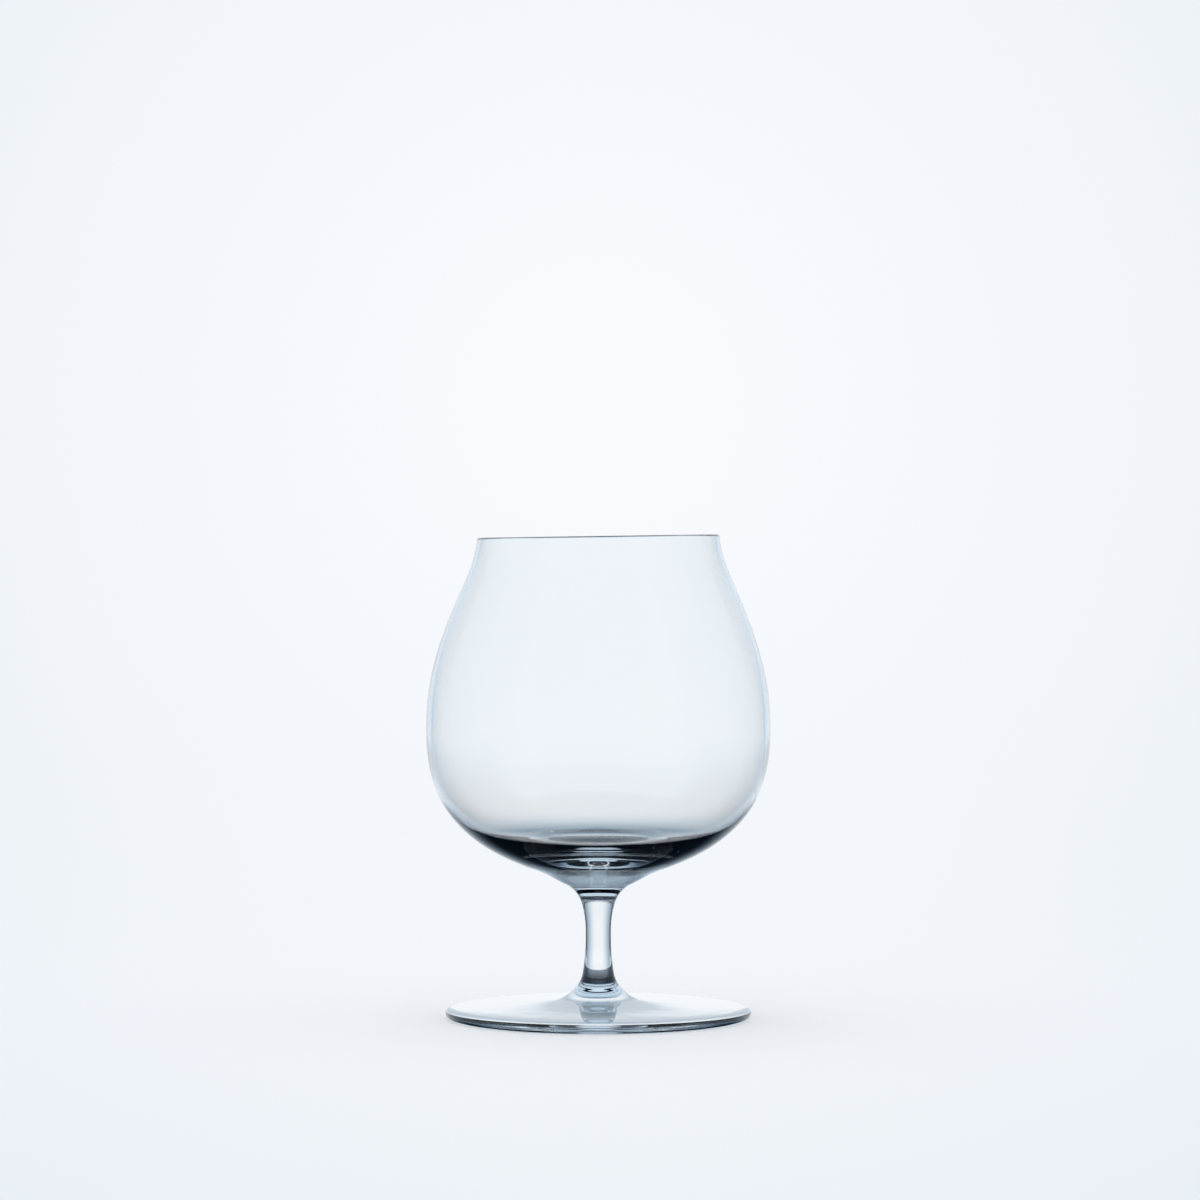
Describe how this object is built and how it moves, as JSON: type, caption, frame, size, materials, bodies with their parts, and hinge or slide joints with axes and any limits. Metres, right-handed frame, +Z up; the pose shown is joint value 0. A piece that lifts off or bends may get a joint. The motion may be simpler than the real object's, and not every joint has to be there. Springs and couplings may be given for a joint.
{
  "type": "stemmed tasting glass",
  "caption": "Small stemmed drinking glass: a low-bellied bowl narrowing to an open rim, on a short waisted stem and a round foot, for tasting and nosing spirits.",
  "frame": {"origin": "on the table, under the middle of the foot, on the glass's axis", "axes": "+Z up along the axis of the stem, towards the rim; the glass is round, so +X and +Y are any two level directions"},
  "size_m": [0.075, 0.075, 0.105],
  "materials": {
    "bowl_glass": "clear, fire-polished",
    "stem_glass": "clear, fire-polished",
    "foot_glass": "clear, fire-polished"
  },
  "bodies": {
    "root": {"bowl": "bowl_glass", "stem": "stem_glass", "foot": "foot_glass"}
  },
  "joints": []
}
